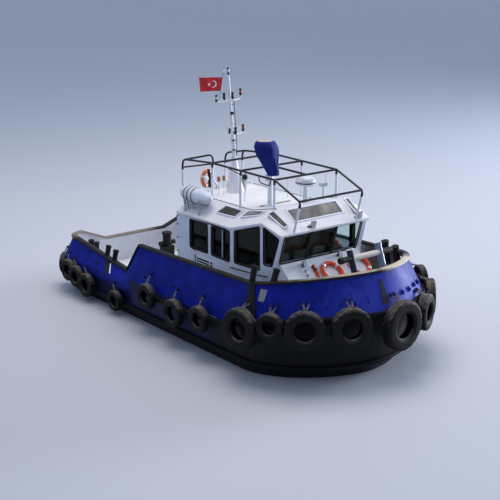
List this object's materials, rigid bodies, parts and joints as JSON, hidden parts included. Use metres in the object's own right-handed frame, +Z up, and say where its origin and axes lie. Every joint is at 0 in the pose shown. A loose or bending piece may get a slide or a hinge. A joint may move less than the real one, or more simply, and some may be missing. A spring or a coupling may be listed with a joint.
{
  "type": "harbour mooring boat",
  "caption": "Small harbour mooring boat afloat, with tyre fenders, windowed wheelhouse with a roof cage, mast, tow bitt, hinged lids, rudders and propellers.",
  "frame": {"origin": "amidships on the centreline, at the waterline the boat floats at", "axes": "+X forward to the bow, +Y to port, +Z up"},
  "size_m": [12.7695, 6.5706, 9.3158],
  "materials": {
    "antenna_plastic": "blue-grey plastic",
    "bitt_steel": "dark paint worn by ropes",
    "cage_steel": "black painted tube",
    "cover_canvas": "blue canvas",
    "engine_iron": "painted casting",
    "fender_rubber": "dull black rubber",
    "flag_cloth": "woven polyester",
    "hatch_steel": "pale grey paint",
    "house_paint": "white paint, weathered",
    "hull_paint": "gloss blue paint, scuffed",
    "lifebuoy_foam": "orange shell",
    "propeller_bronze": "cast bronze",
    "rail_steel": "worn bare steel",
    "tyre_rubber": "worn tyre rubber",
    "underwater_steel": "red-brown antifouling",
    "white_grp": "white moulded plastic",
    "window_glass": "tinted marine glass"
  },
  "bodies": {
    "boat": {"hull": "hull_paint", "bulwark_fore": "hull_paint", "bulwark_aft": "hull_paint", "cap_rail_fore": "rail_steel", "cap_rail_aft": "rail_steel", "belt_upper": "fender_rubber", "belt_lower": "fender_rubber", "tyre_bow": "tyre_rubber", "tyre_starboard_1": "tyre_rubber", "tyre_starboard_2": "tyre_rubber", "tyre_starboard_3": "tyre_rubber", "tyre_starboard_4": "tyre_rubber", "tyre_port_1": "tyre_rubber", "tyre_port_2": "tyre_rubber", "tyre_port_3": "tyre_rubber", "tyre_port_4": "tyre_rubber", "wheelhouse": "house_paint", "wheelhouse_roof": "house_paint", "glazing_starboard": "window_glass", "glazing_port": "window_glass", "glazing_front": "window_glass", "skylight_front": "window_glass", "front_trunk": "house_paint", "lifebuoy_middle": "lifebuoy_foam", "lifebuoy_port": "lifebuoy_foam", "roof_cage": "cage_steel", "lifebuoy_roof": "lifebuoy_foam", "mast": "house_paint", "flag": "flag_cloth", "light_pedestal": "house_paint", "light_cover": "cover_canvas", "radome": "white_grp", "antenna": "antenna_plastic", "life_raft": "white_grp", "raft_cradle": "rail_steel", "roof_ladder": "house_paint", "tow_bitt": "bitt_steel", "bow_bitt": "bitt_steel", "stern_posts_starboard": "house_paint", "engine_starboard": "engine_iron", "shaft_strut_starboard": "underwater_steel", "stern_posts_port": "house_paint", "engine_port": "engine_iron", "shaft_strut_port": "underwater_steel"},
    "door": {"wheelhouse_door": "house_paint"},
    "hatch_starboard": {"engine_hatch_starboard": "hatch_steel"},
    "screw_starboard": {"propeller_starboard": "propeller_bronze"},
    "rudder_leaf_starboard": {"rudder_starboard": "underwater_steel"},
    "hatch_port": {"engine_hatch_port": "hatch_steel"},
    "screw_port": {"propeller_port": "propeller_bronze"},
    "rudder_leaf_port": {"rudder_port": "underwater_steel"}
  },
  "joints": [
    {"name": "propeller_turn_starboard", "type": "hinge", "parent": "boat", "child": "screw_starboard", "pos_m": [-4.25, -0.9, -1.48], "axis": [0.994, 0, 0.1097], "continuous": true},
    {"name": "rudder_turn_starboard", "type": "hinge", "parent": "boat", "child": "rudder_leaf_starboard", "pos_m": [-4.88, -0.9, -1.3], "axis": [0, 0, 1], "range_deg": [-35, 35]},
    {"name": "hatch_lift_starboard", "type": "hinge", "parent": "boat", "child": "hatch_starboard", "pos_m": [-2.725, -1.05, 0.4803], "axis": [1, 0, 0], "range_deg": [0, 85]},
    {"name": "propeller_turn_port", "type": "hinge", "parent": "boat", "child": "screw_port", "pos_m": [-4.25, 0.9, -1.48], "axis": [0.994, 0, 0.1097], "continuous": true},
    {"name": "rudder_turn_port", "type": "hinge", "parent": "boat", "child": "rudder_leaf_port", "pos_m": [-4.88, 0.9, -1.3], "axis": [0, 0, 1], "range_deg": [-35, 35]},
    {"name": "hatch_lift_port", "type": "hinge", "parent": "boat", "child": "hatch_port", "pos_m": [-2.725, 1.05, 0.4803], "axis": [1, 0, 0], "range_deg": [-85, 0]},
    {"name": "door_swing", "type": "hinge", "parent": "boat", "child": "door", "pos_m": [-0.912, 1.15, 2.3], "axis": [0, 0, 1], "range_deg": [-110, 0]}
  ]
}
